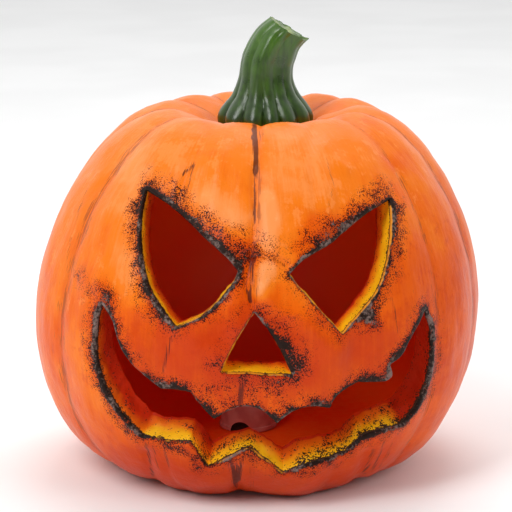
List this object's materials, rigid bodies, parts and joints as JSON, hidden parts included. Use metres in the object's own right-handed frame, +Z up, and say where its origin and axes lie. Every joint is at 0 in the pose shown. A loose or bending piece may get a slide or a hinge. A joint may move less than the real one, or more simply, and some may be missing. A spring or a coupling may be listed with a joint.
{
  "type": "carved pumpkin lantern",
  "caption": "Hollow lobed pumpkin-shaped lantern with a carved grinning face, a leaning green stem and a small domed light unit inside.",
  "frame": {"origin": "middle of the flat foot, on the surface that the lantern stands on, below the middle of the body", "axes": "+Z up, the carved face looks along -Y, +X to the viewer's right"},
  "size_m": [0.228, 0.2272, 0.23],
  "materials": {
    "shell_paint": "satin",
    "stem_paint": "gloss",
    "light_plastic": "satin"
  },
  "bodies": {
    "root": {"shell": "shell_paint", "stem": "stem_paint", "light_unit": "light_plastic"}
  },
  "joints": []
}
